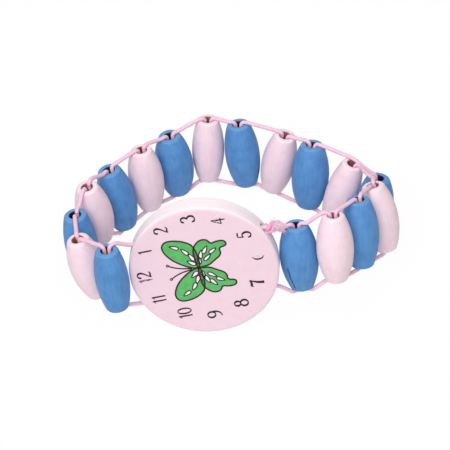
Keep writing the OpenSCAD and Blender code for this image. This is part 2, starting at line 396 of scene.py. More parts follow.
def bend(x, y, radius, start, stop, count):
    """Points on an arc: the middle (x, y) plus the radius times the cosine and sine of each angle."""
    a = np.linspace(start, stop, count)
    return np.stack([x + radius * np.cos(a), y + radius * np.sin(a)], -1)


def run_lengths(line):
    """How far along a line each of its points lies: the sum of the steps up to it."""
    return np.append(0, np.cumsum(np.linalg.norm(np.diff(line, axis=0), axis=1)))


def places_of(mesh):
    """The points of a mesh in millimetres, as one array."""
    flat = np.zeros(len(mesh.vertices) * 3, np.float32)
    mesh.vertices.foreach_get("co", flat)
    return flat.reshape(-1, 3).astype(float) / MM


def bead_profile(mid_r, shoulder_r):
    """Radius and height along a bead's section, from the middle of its side up to the end, through the
    bore and back: arcs of the barrel, shoulder and mouths, with the bore's straight wall between. The
    barrel's radius follows from its sag: (half the length squared + sag squared) / twice the sag."""
    sag = mid_r - shoulder_r
    arc_r = (half_l ** 2 + sag ** 2) / (2 * sag)
    centre = mid_r - arc_r
    inner_r, inner_l = arc_r - bead_edge_r, half_l - bead_edge_r
    edge_a = math.asin(inner_l / inner_r)
    side = bend(centre, 0, arc_r, 0, edge_a, side_points)
    shoulder = bend(centre + math.sqrt(inner_r ** 2 - inner_l ** 2), inner_l, bead_edge_r, edge_a,
                    math.pi / 2, edge_points)[1:]
    mouth = bend(bore_r + mouth_r, half_l - mouth_r, mouth_r, math.pi / 2, math.pi, mouth_points)
    wall_h = np.linspace(half_l - mouth_r, 0, wall_points + 1)[1:]
    wall = np.stack([np.full(wall_points, bore_r), wall_h], -1)
    upper = np.concatenate([side, shoulder, mouth, wall])
    return np.concatenate([upper, upper[-2:0:-1] * [1, -1]])


def bead_mesh(i):
    """Bead i: its profile turned about its bore. Slow waves of a few hundredths of a millimetre, which
    fade out towards the bore, only take wood away. Marks say where the bore and the ends are."""
    place = places_of(frame["nodes"][bead_name[i]].data) - middle[i]
    mid_r = np.linalg.norm(place - (place @ axis[i])[:, None] * axis[i], axis=1).max()
    section = bead_profile(mid_r, end_r[i])
    r, h = section[None, :, 0], section[None, :, 1]
    t = circle(bead_sides)[:, None]
    # Four phases are drawn and three are used, which keeps the draws that follow in their order.
    phase = rng.uniform(0, 2 * np.pi, 4)
    uneven = (two_lobes * np.sin(2 * t + phase[0] + 0.25 * h)
              + three_lobes * np.sin(3 * t + phase[1] - 0.4 * h)
              + ripples * np.sin(2.3 * h + phase[2]) - (two_lobes + three_lobes + ripples))
    radius = r + np.clip((r - bore_r - mouth_r) / wave_fade, 0, 1) * uneven
    local = np.stack([radius * np.cos(t), radius * np.sin(t), h + 0 * t], -1)
    x = unit(across(np.array([1.0, 0.05, 0]), axis[i]))
    y = np.cross(axis[i], x)
    points = middle[i] + local[..., :1] * x + local[..., 1:2] * y + local[..., 2:] * axis[i]
    # The bore mark reaches out over the mouth's rounding, where the bore's painted shade begins.
    inside = np.clip((bore_r + mouth_r * 0.9 - r) / (mouth_r * 0.6), 0, 1) + 0 * t
    end = np.clip((np.abs(h) - half_l + bead_edge_r * 0.8) / bead_edge_r, 0, 1) + 0 * t
    length = run_lengths(np.vstack([section, section[:1]]))
    chart = (np.linspace(0, 1, bead_sides + 1), length / length[-1])
    marks = {"turned": local + rng.uniform(0, 40, 3), "bore": inside, "end": end}
    return surface(bead_name[i] + "_painted", points, (True, True), chart, marks)


beads = {i: bead_mesh(i) for i in range(1, BEADS + 1)}
print("beads", len(beads), "faces each", len(beads[1].data.polygons))

# %% [markdown]
# ## Painted wood
# The paint is thin and satin, and the wood's long fibres show through it as faint streaks along the bead.
# Grain is one node group, because the beads and the dial share it: noise drawn out along one way, as a
# mask. Colour, roughness and bump each take a little of it. Bead 17 also has a fine drying crack, a thin
# wavering line on the bead's own chart, which counts once round and once along the profile.

# %% Grain and paint
crack_run, crack_turn = (0.995, 0.785), (0.624, 0.65)
crack_waver, crack_width = 0.034, 0.0105
grain, came_in, went_out = group("wood_grain", [("Place", "Vector"), ("Drawn", "Vector"), ("Size", "Float")],
                                 [("Streaks", "Float"), ("Mottle", "Float")])
drawn = stretched(grain, came_in["Place"], came_in["Drawn"])
coarse = noise(grain, drawn, came_in["Size"], 5.0, 0.62)
fine = noise(grain, drawn, times(grain, came_in["Size"], 3.1), 3.0)
both = maths(grain, "ADD", times(grain, coarse, 0.65), times(grain, fine, 0.35))
grain.links.new(span(grain, both, 0.35, 0.66), went_out["Streaks"])
grain.links.new(span(grain, noise(grain, came_in["Place"], 0.45, 3.0), 0.32, 0.68), went_out["Mottle"])


def crack_mask(tree):
    """A drying crack near the lower end: one minus the way round from a wavering line, over the line's
    width, which narrows to nothing at both ends."""
    chart = node(tree, "SeparateXYZ", {0: node(tree, "UVMap", uv_map="chart").outputs[0]}).outputs
    run = chart["Y"]
    waver = noise(tree, node(tree, "CombineXYZ", {"Y": run}).outputs[0], 34.0, 3.0)
    line = maths(tree, "ADD", span(tree, run, *crack_run, *crack_turn), times(tree, waver, crack_waver))
    near = maths(tree, "ABSOLUTE", maths(tree, "SUBTRACT", chart["X"], line))
    width = times(tree, span(tree, run, 0.998, 0.96), span(tree, run, 0.782, 0.81))
    depth = maths(tree, "DIVIDE", near, maths(tree, "MULTIPLY_ADD", width, crack_width, 0.0002))
    return times(tree, maths(tree, "SUBTRACT", 1.0, depth, clamp=True), width)


def bead_paint(name, paint, deep, thin, bare, bore_shaded, bore_shaded_deep, crack_ink=None):
    """Satin paint on turned wood: streaks of a deeper tone, thin patches, paint worn nearly bare round the
    ends, the bore's own colour darkened with painted shade, and a crack where a colour is given for one."""
    made, tree, shader = material(name)
    place = mark(tree, "turned", "Vector")
    wood = placed(tree, grain, {"Place": place, "Drawn": (1.0, 1.0, 0.1), "Size": 1.3})
    specks = noise(tree, place, 7.0, 2.0)
    worn = times(tree, mark(tree, "end", "Fac"), span(tree, specks, 0.4, 0.62))
    colour = blend_colours(tree, times(tree, wood["Streaks"], 0.6), paint, deep)
    colour = blend_colours(tree, times(tree, wood["Mottle"], 0.35), colour, thin)
    colour = blend_colours(tree, times(tree, worn, 0.8), colour, bare)
    # The bore's own colour is made darker here as painted shade of the narrow hole.
    bore_colour_and_shade = blend_colours(tree, wood["Streaks"], bore_shaded, bore_shaded_deep)
    colour = blend_colours(tree, mark(tree, "bore", "Fac"), colour, bore_colour_and_shade)
    height = maths(tree, "ADD", times(tree, wood["Streaks"], -0.7), times(tree, specks, 0.3))
    if crack_ink:
        crack = crack_mask(tree)
        colour = blend_colours(tree, span(tree, crack, 0.1, 0.45), colour, crack_ink)
        height = maths(tree, "SUBTRACT", height, times(tree, crack, 2.0))
    fill(tree, shader, {"Base Color": colour, "Roughness": span(tree, wood["Streaks"], 0, 1, 0.5, 0.62),
                        "Specular IOR Level": 0.35, "Normal": bumped(tree, height, 0.22, 0.00012)})
    return made


# The last two colours of each set are the bore's own colour, darkened with painted shade.
blues = (ink(82, 139, 198), ink(64, 118, 176), ink(98, 155, 208), ink(136, 180, 214), ink(22, 30, 70),
         ink(10, 14, 38))
pinks = (ink(243, 216, 226), ink(232, 200, 212), ink(247, 228, 234), ink(250, 236, 238), ink(176, 112, 118),
         ink(120, 66, 72))
blue_paint = bead_paint("blue_bead_paint", *blues)
cracked_paint = bead_paint("split_bead_paint", *blues, ink(34, 62, 104))
pink_paint = bead_paint("pink_bead_paint", *pinks)
for i, bead in beads.items():
    paint = cracked_paint if i == BEADS else blue_paint if i % 2 else pink_paint
    finished(bead, paint, "blue_paint" if i % 2 else "pink_paint",
             f"turning_bead_{i}", bead_name[i])
print("beads painted", len(beads))

# %% [markdown]
# ## The dial's shape
# The dial is a flat turned disc with softened edges and two holes drilled through it from rim to rim. The
# disc is a lathe surface, and a Boolean with two round bars drills it, because a drilled hole meets the
# round rim in a curve that is awkward to lay out by hand. Disc and bars end in rings so small that merging
# their points closes them.

# %% Dial surface
disc_sides, face_rings, edge_rings, rim_rings = 192, 12, 8, 5
bar_sides, bar_past, tiny = 40, 2.0, 0.0001
near_wall = 0.02


def on_dial(x, y, z):
    """Points given along the holes, to the back and up the face, carried to the dial's place."""
    return dial_middle + x[..., None] * along_holes + y[..., None] * dial_back + z[..., None] * face_up


def disc():
    """The dial turned about its own middle: flat faces in rings, quarter-round edges and a straight rim.
    The rear half of the section is the front half again, mirrored."""
    flat_r, half_t = dial_r - dial_edge_r, dial_t / 2
    rings = np.append(0, np.linspace(0.02, 1, face_rings)) * flat_r
    face = np.stack([rings, np.full(len(rings), half_t)], -1)
    edge = bend(flat_r, half_t - dial_edge_r, dial_edge_r, math.pi / 2, 0, edge_rings)
    rim_y = np.linspace(half_t - dial_edge_r, 0, rim_rings + 1)[1:]
    front = np.concatenate([face[:-1], edge, np.stack([np.full(rim_rings, dial_r), rim_y], -1)])
    section = np.concatenate([front, front[-2::-1] * [1, -1]])
    t = circle(disc_sides)[:, None]
    r, y = section[None, :, 0], -section[None, :, 1] + 0 * t
    return surface("dial_painted", on_dial(r * np.cos(t), y, r * np.sin(t)), (True, False))


def bar(name, height):
    """A round bar as thick as a hole, longer than the dial is wide."""
    t = circle(bar_sides)[:, None]
    x = np.array([-1, -1, 1, 1])[None, :] * (dial_r + bar_past)
    r = np.array([tiny, 1, 1, tiny])[None, :] * hole_r
    return surface(name, on_dial(x + 0 * t, r * np.cos(t), height + r * np.sin(t)), (True, False))


def outward(piece):
    """Merges the points of tiny end rings and turns every face outwards."""
    work = bmesh.new()
    work.from_mesh(piece.data)
    bmesh.ops.remove_doubles(work, verts=work.verts, dist=1e-6)
    bmesh.ops.recalc_face_normals(work, faces=work.faces)
    work.to_mesh(piece.data)
    work.free()


dial = disc()
outward(dial)
drills = [bar("drill_top", hole_height), bar("drill_bottom", -hole_height)]
for drill in drills:
    outward(drill)
    cut = dial.modifiers.new("hole", "BOOLEAN")
    cut.operation = "DIFFERENCE"
    cut.solver = "EXACT"
    cut.object = drill
bpy.context.view_layer.update()
drilled = bpy.data.meshes.new_from_object(dial.evaluated_get(bpy.context.evaluated_depsgraph_get()))
dial.modifiers.clear()
dial.data = drilled
dial.data.name = "dial_painted"
for drill in drills:
    bpy.data.objects.remove(drill)
offset = places_of(dial.data) - dial_middle
local = np.stack([offset @ along_holes, offset @ dial_back, offset @ face_up], -1)
in_hole = np.abs(np.hypot(local[:, 1], np.abs(local[:, 2]) - hole_height) - hole_r) < near_wall
in_hole &= np.hypot(local[:, 0], local[:, 2]) < dial_r - near_wall
set_mark(dial.data, "turned", local)
set_mark(dial.data, "bore", in_hole)
dial.data.polygons.foreach_set("use_smooth", np.full(len(dial.data.polygons), True))
dial.data.set_sharp_from_angle(angle=math.radians(40))
print("dial faces", len(dial.data.polygons))

# %% [markdown]
# ## The dial's paint
# The face is a clear pale pink, a trace uneven like a printed coat. The rim is paler, partly its own paler
# coat and partly painted light from above, with the fine lines of the wood's layers running round it. How
# far a point lies from the face tells one from the other. The holes' walls are painted darker as shade.

# %% Dial paint


def dial_finish():
    """Pale pink paint: the face by how far forward a point lies, the rim paler with fine lines round it and partly
    painted light, the hole walls painted darker as shade.
    """
    made, tree, shader = material("dial_paint")
    place = mark(tree, "turned", "Vector")
    wood = placed(tree, grain, {"Place": place, "Drawn": (0.25, 1.0, 1.0), "Size": 0.9})
    specks = noise(tree, place, 5.5, 4.0, 0.7)
    face = blend_colours(tree, span(tree, specks, 0.3, 0.72), ink(234, 204, 216), ink(240, 215, 225))
    face = blend_colours(tree, times(tree, wood["Mottle"], 0.4), face, ink(236, 203, 216))
    layers = span(tree, noise(tree, stretched(tree, place, (0.12, 6.0, 0.12)), 1.0, 2.0), 0.38, 0.64)
    # The rim's paler colour is partly its own paler coat and partly painted light from above.
    rim = blend_colours(tree, layers, ink(246, 230, 237), ink(250, 239, 243))
    back_way = node(tree, "SeparateXYZ", {0: place}).outputs["Y"]
    front = span(tree, back_way, -dial_t / 2 + 0.05, -dial_t / 2 + 0.42, 1.0, 0.0)
    colour = blend_colours(tree, front, rim, face)
    # The holes' walls are painted a darker pink as painted shade in the holes.
    colour = blend_colours(tree, mark(tree, "bore", "Fac"), colour, ink(196, 150, 156))
    height = maths(tree, "ADD", times(tree, specks, 0.5), times(tree, layers, 0.3))
    fill(tree, shader, {"Base Color": colour, "Roughness": span(tree, specks, 0.3, 0.7, 0.46, 0.58),
                        "Specular IOR Level": 0.35, "Normal": bumped(tree, height, 0.12, 0.0001)})
    return made


finished(dial, dial_finish(), "dial_paint", "dial", "dial")
print("dial painted")

# %% [markdown]
# ## Pen strokes
# The face is printed with thin numbers that have thick and thin parts and round ends, as if from a broad
# pen. A number is a few pen strokes: listed points with a width at each. Cutting every corner off three
# times makes them smooth. Ink lies on the paint as a very thin raised layer, so a stroke is a flat ribbon
# and a filled shape is a patch. The print was put on turned, with 12 to the left.

# %% Pen strokes
print_turn = math.radians(2.8)
print_middle = np.array([-0.34, 1.19])
ink_lift, ink_under = 0.03, -0.3
pen = 1.65
whole_ink, slight_wear = -0.25, 0.1


def smooth(points, times_cut=3):
    """Cuts each corner of an open line off at a quarter of its sides, several times, as whole arrays."""
    line = np.asarray(points, float)
    for _ in range(times_cut):
        near, far = 0.75 * line[:-1] + 0.25 * line[1:], 0.25 * line[:-1] + 0.75 * line[1:]
        line = np.concatenate([line[:1], np.stack([near, far], 1).reshape(-1, line.shape[1]), line[-1:]])
    return line


def arc(x, y, wide, high, start, stop, thin=0.14, thick=0.3):
    """A pen stroke round part of an oval, in degrees: thick where it runs upright, thin where it runs
    level."""
    a = np.radians(np.linspace(start, stop, 25))
    return np.stack([x + wide * np.cos(a), y + high * np.sin(a),
                     thin + (thick - thin) * np.abs(np.cos(a))], -1)


def oval(x, y, wide, high, count):
    """A closed oval line about (x, y)."""
    a = circle(count)
    return np.stack([x + wide * np.cos(a), y + high * np.sin(a)], -1)


def on_print(x, y, lift):
    """Points given to the right and up in the print's own frame, carried to the dial's face."""
    c, s = math.cos(print_turn), math.sin(print_turn)
    along = print_middle[0] - c * y - s * x
    up_face = print_middle[1] - s * y + c * x
    return on_dial(along, -dial_t / 2 - lift, up_face)


def stroke(points, lift=ink_lift, worn=slight_wear, times_cut=3):
    """A raised ribbon along pen points (x, y, width): four sides, drawn to nothing at both ends."""
    line = smooth(points, times_cut)
    way = unit(np.gradient(line[:, :2], axis=0))
    beside = np.stack([-way[:, 1], way[:, 0]], -1)
    half = np.pad(line[:, 2] / 2 * pen, 1, constant_values=1e-4)[:, None]
    line, beside = (np.concatenate([v[:1], v, v[-1:]]) for v in (line, beside))
    x = line[:, :1] + beside[:, :1] * half * [-1, 1, 1, -1]
    y = line[:, 1:2] + beside[:, 1:2] * half * [-1, 1, 1, -1]
    z = np.broadcast_to(lift * np.array([1, 1, ink_under, ink_under]), x.shape)
    marks = {"worn": np.full(x.shape, worn)}
    return surface("stroke", on_print(x, y, z), (False, True), marks=marks, smooth=False)


def patch(outline, lift, worn=slight_wear, rings=6):
    """A raised patch inside a closed outline: the outline drawn in towards its middle, ring by ring."""
    line = np.asarray(outline, float)
    heart = line.mean(0)
    share = np.append(1, np.linspace(1, 0.01, rings))[None, :, None]
    flat = heart + (line[:, None] - heart) * share
    z = np.broadcast_to(np.append(ink_under, np.ones(rings)) * lift, flat.shape[:2])
    marks = {"worn": np.full(z.shape, worn)}
    return surface("patch", on_print(flat[..., 0], flat[..., 1], z), (True, False), marks=marks, smooth=False)


print("pen", pen, "ink raised by", ink_lift, "mm")

# %% [markdown]
# ## The printed numbers
# Each number is a list of strokes, each with how worn it is, and a list of round ends. The figures 1 and 2
# come back in 10, 11 and 12, so they are functions. The 6 came out as only a bow and a dot, and the 4, the
# 11 and the 1 of the 12 hardly took, so that is how they are drawn.

# %% Numbers
number_ring = 12.64


def one_strokes(x, worn=slight_wear):
    """The figure 1: a flag and a stem."""
    return [([(x - 0.42, 0.95, 0.1), (x - 0.1, 1.2, 0.14), (x + 0.08, 1.5, 0.16)], worn),
            ([(x + 0.08, 1.52, 0.2), (x + 0.06, 0, 0.24), (x + 0.1, -1.5, 0.2)], worn)]


def two_strokes(x):
    """The figure 2: a hook with a slope, and a waved foot."""
    slope = [(x + 0.3, -0.1, 0.2), (x - 0.3, -0.8, 0.16), (x - 0.68, -1.42, 0.13)]
    foot = [(x - 0.7, -1.42, 0.16), (x - 0.2, -1.26, 0.24), (x + 0.35, -1.45, 0.22), (x + 0.82, -1.12, 0.1)]
    return [(np.concatenate([arc(x, 0.75, 0.64, 0.74, 168, -20), slope]), 0.1), (foot, 0.1)]


numbers = {
    1: (one_strokes(0.0), []),
    2: (two_strokes(0.0), [(-0.6, 0.86, 0.17)]),
    3: ([(arc(-0.05, 0.82, 0.6, 0.68, 160, -78), 0.1), (arc(-0.05, -0.68, 0.8, 0.84, 84, -158), 0.1)],
        [(-0.62, 1.0, 0.16), (-0.76, -0.92, 0.17)]),
    4: ([([(0.2, 1.5, 0.12), (-0.8, -0.5, 0.15)], 0.46), ([(-0.8, -0.52, 0.15), (0.7, -0.5, 0.18)], 0.36),
         ([(0.22, 1.5, 0.26), (0.2, 0.1, 0.24), (0.22, -1.5, 0.16)], 0.4)], []),
    5: ([([(-0.45, 1.42, 0.14), (0.1, 1.5, 0.22), (0.72, 1.36, 0.2)], 0.12),
         ([(-0.42, 1.42, 0.14), (-0.52, 0.3, 0.16)], 0.12), (arc(-0.1, -0.5, 0.74, 0.96, 128, -150), 0.1)],
        [(-0.74, -0.86, 0.17)]),
    6: ([([(0.32, 1.3, 0.06), (-0.3, 0.75, 0.2), (-0.42, 0, 0.24), (-0.3, -0.75, 0.2), (0.32, -1.3, 0.06)],
          0.25)], [(0.42, 0.1, 0.09)]),
    7: ([([(-0.86, 0.95, 0.1), (-0.7, 1.42, 0.3), (0.0, 1.18, 0.34), (0.82, 1.52, 0.16)], 0.1),
         ([(0.8, 1.5, 0.16), (0.3, 0.5, 0.26), (-0.02, -0.5, 0.36), (-0.1, -1.55, 0.4)], 0.1)], []),
    8: ([(arc(0, 0.82, 0.6, 0.68, -90, 270), 0.1), (arc(0, -0.7, 0.78, 0.84, 90, 450), 0.1)], []),
    9: ([(arc(-0.04, 0.7, 0.74, 0.86, -60, 300, 0.14, 0.28), 0.1),
         ([(0.7, 0.75, 0.24), (0.74, -0.25, 0.28), (0.4, -1.2, 0.2), (-0.5, -1.6, 0.12)], 0.1)],
        [(-0.5, -1.5, 0.15)]),
    10: (one_strokes(-0.95) + [(arc(0.45, 0, 0.68, 1.5, -90, 270, 0.12, 0.24), 0.1)], []),
    11: (one_strokes(-0.5, 0.3) + one_strokes(0.55, 0.26), []),
    12: (one_strokes(-1.0, 0.48) + two_strokes(0.45), [(-0.15, 0.86, 0.16)]),
}


def print_number(value):
    """All of one number's strokes and round ends, set upright at its hour."""
    angle = math.radians(90 - 30 * value)
    x, y = number_ring * math.cos(angle), number_ring * math.sin(angle)
    strokes, ends = numbers[value]
    made = [stroke(np.asarray(points, float) + [x, y, 0], worn=worn) for points, worn in strokes]
    return made + [patch(oval(x + px, y + py, r, r, 20), ink_lift, rings=3) for px, py, r in ends]


printed_numbers = joined("printed_numbers", [part for value in numbers for part in print_number(value)])
print("numbers", len(numbers), "faces", len(printed_numbers.data.polygons))

# %% [markdown]
# ## The printed butterfly
# A butterfly is printed in the middle of the face, green with a dark outline and pale drops on its wings.
# This one is drawn for the lesson in a few points for one side, and the other side mirrors it:
# a rounded front wing, a hind wing with a tail, drops in a bow along each, and two feelers.

# %% Butterfly
front_wing = [(0.1, 1.5), (0.9, 3.3), (3.1, 6.0), (6.1, 7.5), (8.0, 6.5), (7.8, 3.6), (6.6, 1.2), (5.3, 0.4),
              (2.6, 0.0), (0.1, 0.2)]
hind_wing = [(0.1, 0.7), (2.6, 0.9), (5.0, 0.8), (6.9, -0.9), (6.9, -2.7), (5.5, -3.4), (6.0, -4.6),
             (5.9, -6.5), (4.5, -6.7), (4.3, -4.8), (2.5, -5.1), (1.1, -3.0), (0.2, -1.7)]
drops = [(1.55, 1.8, 2.1, 1.1, 52), (3.0, 1.5, 2.2, 1.1, 24), (4.6, 2.6, 2.1, 1.05, 36),
         (6.1, 4.6, 2.0, 1.0, 62), (1.9, 0.0, 2.0, 1.0, -4), (3.3, -0.65, 2.2, 1.05, -20),
         (4.3, -1.8, 2.1, 1.05, -36), (2.3, -1.9, 2.1, 1.0, -52), (3.8, -3.4, 1.9, 1.0, -60)]
feeler = [(0.12, 2.0, 0.2), (0.45, 4.2, 0.18), (1.1, 6.0, 0.17), (1.75, 7.0, 0.16)]
line_lift, drop_lift, body_lift = 1.7 * ink_lift, 1.5 * ink_lift, 1.3 * ink_lift


def closed(points):
    """A smooth closed line through the corners' cut-off places."""
    return smooth(list(points) + [points[0]])[:-1]


def drop(x, y, length, width, turn):
    """A drop as a closed line: an oval whose width shrinks from one end to the other, turned in degrees."""
    a = circle(22)
    along = length / 2 * np.cos(a)
    beside = width / 2 * np.sin(a) * (0.75 - 0.35 * np.cos(a))
    c, s = math.cos(math.radians(turn)), math.sin(math.radians(turn))
    return np.stack([x + c * along - s * beside, y + s * along + c * beside], -1)


def outlined(line, width, worn=0.12):
    """A pen line of one width round a closed line."""
    whole = np.concatenate([line, line[:2]])
    return stroke(np.column_stack([whole, np.full(len(whole), width)]), line_lift, worn, 0)


fills, outlines, spots = [], [], []
for side in (1, -1):
    flip = np.array([side, 1.0])
    for wing in (front_wing, hind_wing):
        line = closed(np.array(wing) * flip)
        fills.append(patch(line, ink_lift, whole_ink, 8))
        outlines.append(outlined(line, 0.22))
    for one_drop in drops:
        line = drop(*one_drop) * flip
        spots.append(patch(line, drop_lift, 0.05, 4))
        outlines.append(outlined(line, 0.16))
    outlines.append(stroke(np.array(feeler) * [side, 1, 1], line_lift))
    outlines.append(outlined(oval(side * 1.78, 7.1, 0.24, 0.24, 18), 0.13))
fills.append(patch(oval(0, 0.35, 0.62, 1.9, 30), body_lift, whole_ink, 5))
butterfly_fill = joined("printed_wings", fills)
butterfly_lines = joined("printed_outline", outlines)
butterfly_spots = joined("printed_drops", spots)
print("butterfly faces", len(butterfly_fill.data.polygons) + len(butterfly_lines.data.polygons))

# %% [markdown]
# ## Ink
# Ink that was pressed on wears off in flecks, and some numbers hardly took. One node group gives a mask of
# the flecks: fine noise, cut at a level that each stroke carries as its own mark. Where the mask is empty
# the paint's colour shows.

# %% Ink finish
bare_face = ink(241, 213, 227)
fleck, came_in, went_out = group("ink_flecks", [("Place", "Vector"), ("Worn", "Float")], [("Ink", "Float")])
dust = noise(fleck, came_in["Place"], 3600.0, 3.0, 0.6)
level = maths(fleck, "ADD", times(fleck, came_in["Worn"], 0.52), 0.14)
taken = maths(fleck, "MULTIPLY", maths(fleck, "SUBTRACT", dust, level), 14.0, clamp=True)
fleck.links.new(taken, went_out["Ink"])


def ink_finish(name, colour, uneven):
    """Printed ink in one colour with a little unevenness, gone in flecks down to the face's paint."""
    made, tree, shader = material(name)
    place = node(tree, "TexCoord").outputs["Object"]
    taken = placed(tree, fleck, {"Place": place, "Worn": mark(tree, "worn", "Fac")})["Ink"]
    cloud = noise(tree, place, 900.0, 2.0)
    tone = blend_colours(tree, span(tree, cloud, 0.35, 0.65), colour, uneven)
    fill(tree, shader, {"Base Color": blend_colours(tree, taken, bare_face, tone),
                        "Roughness": span(tree, taken, 0, 1, 0.55, 0.42), "Specular IOR Level": 0.35})
    return made


dark_ink = ink_finish("dark_ink", ink(58, 22, 34), ink(42, 14, 24))
green_ink = ink_finish("green_ink", ink(80, 174, 92), ink(92, 186, 104))
pale_ink = ink_finish("pale_ink", ink(250, 236, 242), ink(246, 230, 238))
for piece, finish in ((printed_numbers, dark_ink), (butterfly_fill, green_ink), (butterfly_lines, dark_ink),
                      (butterfly_spots, pale_ink)):
    finished(piece, finish, "dial_paint", "dial")
print("print inked")

# %% [markdown]
# ## The elastic's route
# One elastic runs twice round the band. Between neighbours it shows as a strand at the top and one at the
# bottom. Each turns over the bore's mouth, lies on the bead's end, and turns again over its edge. In the
# bore it crosses its twin. The corners are worked out as the CAD model's source does, and every corner is
# rounded to an arc, so the visible strands lie where the solid ones do.

# %% Route
wall_clear, cord_share = 0.03, 0.8
inset = bore_r - wall_clear - cord_share * cord_r
crossing_height, crossing_lean = 0.5 * half_l, 0.5 * inset
turn_r = mouth_r + cord_clear + cord_r
edge_turn_r = bead_edge_r + cord_clear + cord_r
easy_r = 3.6
hole_turn_r = 1.62
mouth_x = math.sqrt(dial_r ** 2 - hole_height ** 2) + cord_r


def hole_point(x, top):
    """The point at x along one of the dial's two holes."""
    return on_dial(np.array(x), np.array(0.0), np.array(top * hole_height))


def level_point(i, top):
    """Over the middle of a bead's end, or just outside a hole of the dial."""
    if i == 0:
        return hole_point(-mouth_x, top)
    if i > BEADS:
        return hole_point(mouth_x, top)
    return middle[i] + top * (half_l + cord_clear + cord_r) * axis[i]


def outward_way(i, top, side):
    """The way from bead i to its neighbour's strand, level with the bead's end."""
    return unit(across(level_point(i + side, top) - level_point(i, top), axis[i]))


def turn_point(i, top, side):
    """The corner over the bore's mouth."""
    return level_point(i, top) + inset * outward_way(i, top, side)


def edge_point(i, top, side):
    """The corner over the bead's edge, further out where the strand goes down steeply."""
    run = level_point(i + side, top) - level_point(i, top)
    other = end_r.get(i + side, 0.0)
    slope = math.atan(abs(run @ axis[i]) / (np.linalg.norm(across(run, axis[i])) - end_r[i] - other))
    far = end_r[i] - bead_edge_r + cord_clear + edge_turn_r * math.tan(slope / 2)
    return level_point(i, top) + far * outward_way(i, top, side)


def crossing(i, which, level):
    """A point in the bore where the two strands run side by side: half a cord to one side of the bore's
    line, and a little towards the neighbour that this end of the strand leads to."""
    on = unit(across(level_point(i + 1, 1) - level_point(i, 1), axis[i]))
    came = unit(across(level_point(i - 1, 1) - level_point(i, 1), axis[i]))
    over = unit(on - came)
    beside = which * (cord_r + cord_clear / 2) * np.cross(axis[i], over)
    return middle[i] + level * crossing_height * axis[i] + beside - which * level * crossing_lean * over


print("strand's turns", round(turn_r, 2), "over a mouth and", round(edge_turn_r, 2), "over an edge")

# %% [markdown]
# ## A cord along its route
# A cord is a circle carried along a path. The path's corners become arcs, laid out as points one step
# apart. Where stretched cord is pulled into a bore it is thinner, so the radius may ease at either end.

# %% Cord
path_step, arc_points, room_share = 0.16, 9, 0.98
ease_l = 2.6
dome = np.array([0.02, 0.7])


def rounded(corners, radii):
    """A path through corners, each turned on an arc of its radius, as points a step apart. An arc starts
    its radius times the tangent of half the turn before the corner."""
    corners = [np.asarray(c, float) for c in corners]
    whole = [corners[0][None]]
    for before, corner, after, radius in zip(corners, corners[1:], corners[2:], radii):
        a, b = unit(corner - before), unit(after - corner)
        angle = math.acos(min(1.0, max(-1.0, float(a @ b))))
        room = room_share * min(np.linalg.norm(corner - before), np.linalg.norm(after - corner))
        radius = min(radius, room / max(math.tan(angle / 2), 1e-6))
        inward = unit(across(b, a)) if angle > 1e-4 else np.zeros(3)
        start = corner - radius * math.tan(angle / 2) * a
        turned = np.linspace(0, angle, arc_points)[:, None]
        whole.append(start + radius * (np.sin(turned) * a + (1 - np.cos(turned)) * inward))
    line = np.concatenate(whole + [corners[-1][None]])
    lengths = run_lengths(line)
    keep = np.append(True, np.diff(lengths) > 1e-6)
    line, lengths = line[keep], lengths[keep]
    at = np.linspace(0, lengths[-1], max(2, int(lengths[-1] / path_step)))
    return np.stack([np.interp(at, lengths, line[:, k]) for k in range(3)], -1), at


def tube(name, corners, radii, radius, about, sides=16, ends=(1.0, 1.0)):
    """A round cord along a rounded path. Each ring lies square to the path, its first side turned to the
    vector about. The radius eases to a share of itself at each end, and the ends close in a small dome."""
    line, at = rounded(corners, radii)
    way = unit(np.gradient(line, axis=0))
    first = unit(about - (way @ about)[:, None] * way)
    second = np.cross(way, first)
    near, far = (np.clip(v / ease_l, 0, 1) for v in (at - at[0], at[-1] - at))
    ease = [v * v * (3 - 2 * v) for v in (near, far)]
    full = radius * (ends[0] + (1 - ends[0]) * ease[0]) * (ends[1] + (1 - ends[1]) * ease[1])
    full = np.concatenate([full[0] * dome, full, full[-1] * dome[::-1]])[:, None, None]
    at = np.pad(at, 2, mode="edge")
    line, first, second = (np.pad(v, ((2, 2), (0, 0)), mode="edge")[:, None] for v in (line, first, second))
    t = circle(sides)[None, :, None]
    chart = (np.append(at, at[-1]), np.linspace(0, 1, sides + 1))
    return surface(name, line + full * (np.cos(t) * first + np.sin(t) * second), (False, True), chart)


print("a step along a cord", path_step, "mm")

# %% [markdown]
# ## Thread-covered elastic
# A rubber core is braided over with fine thread. From near by it shows slanting ridges both ways round.
# The ridges are painted paler as light and the grooves a deeper pink as shade. Two crossed waves on the
# cord's own UV map give both: one along the cord in millimetres and one round it.

# %% Elastic finish
ridges_round, ridges_per_mm = 4, 7.0
braid, came_in, went_out = group("braid", [("Chart", "Vector"), ("Pitch", "Float")], [("Ridge", "Float")])
chart = node(braid, "SeparateXYZ", {0: came_in["Chart"]}).outputs
run = times(braid, chart["X"], came_in["Pitch"])
turned = times(braid, chart["Y"], ridges_round * 2 * math.pi)
one, other = (maths(braid, "ABSOLUTE", maths(braid, "SINE", maths(braid, way, run, turned)))
              for way in ("ADD", "SUBTRACT"))
braid.links.new(maths(braid, "MAXIMUM", one, other), went_out["Ridge"])


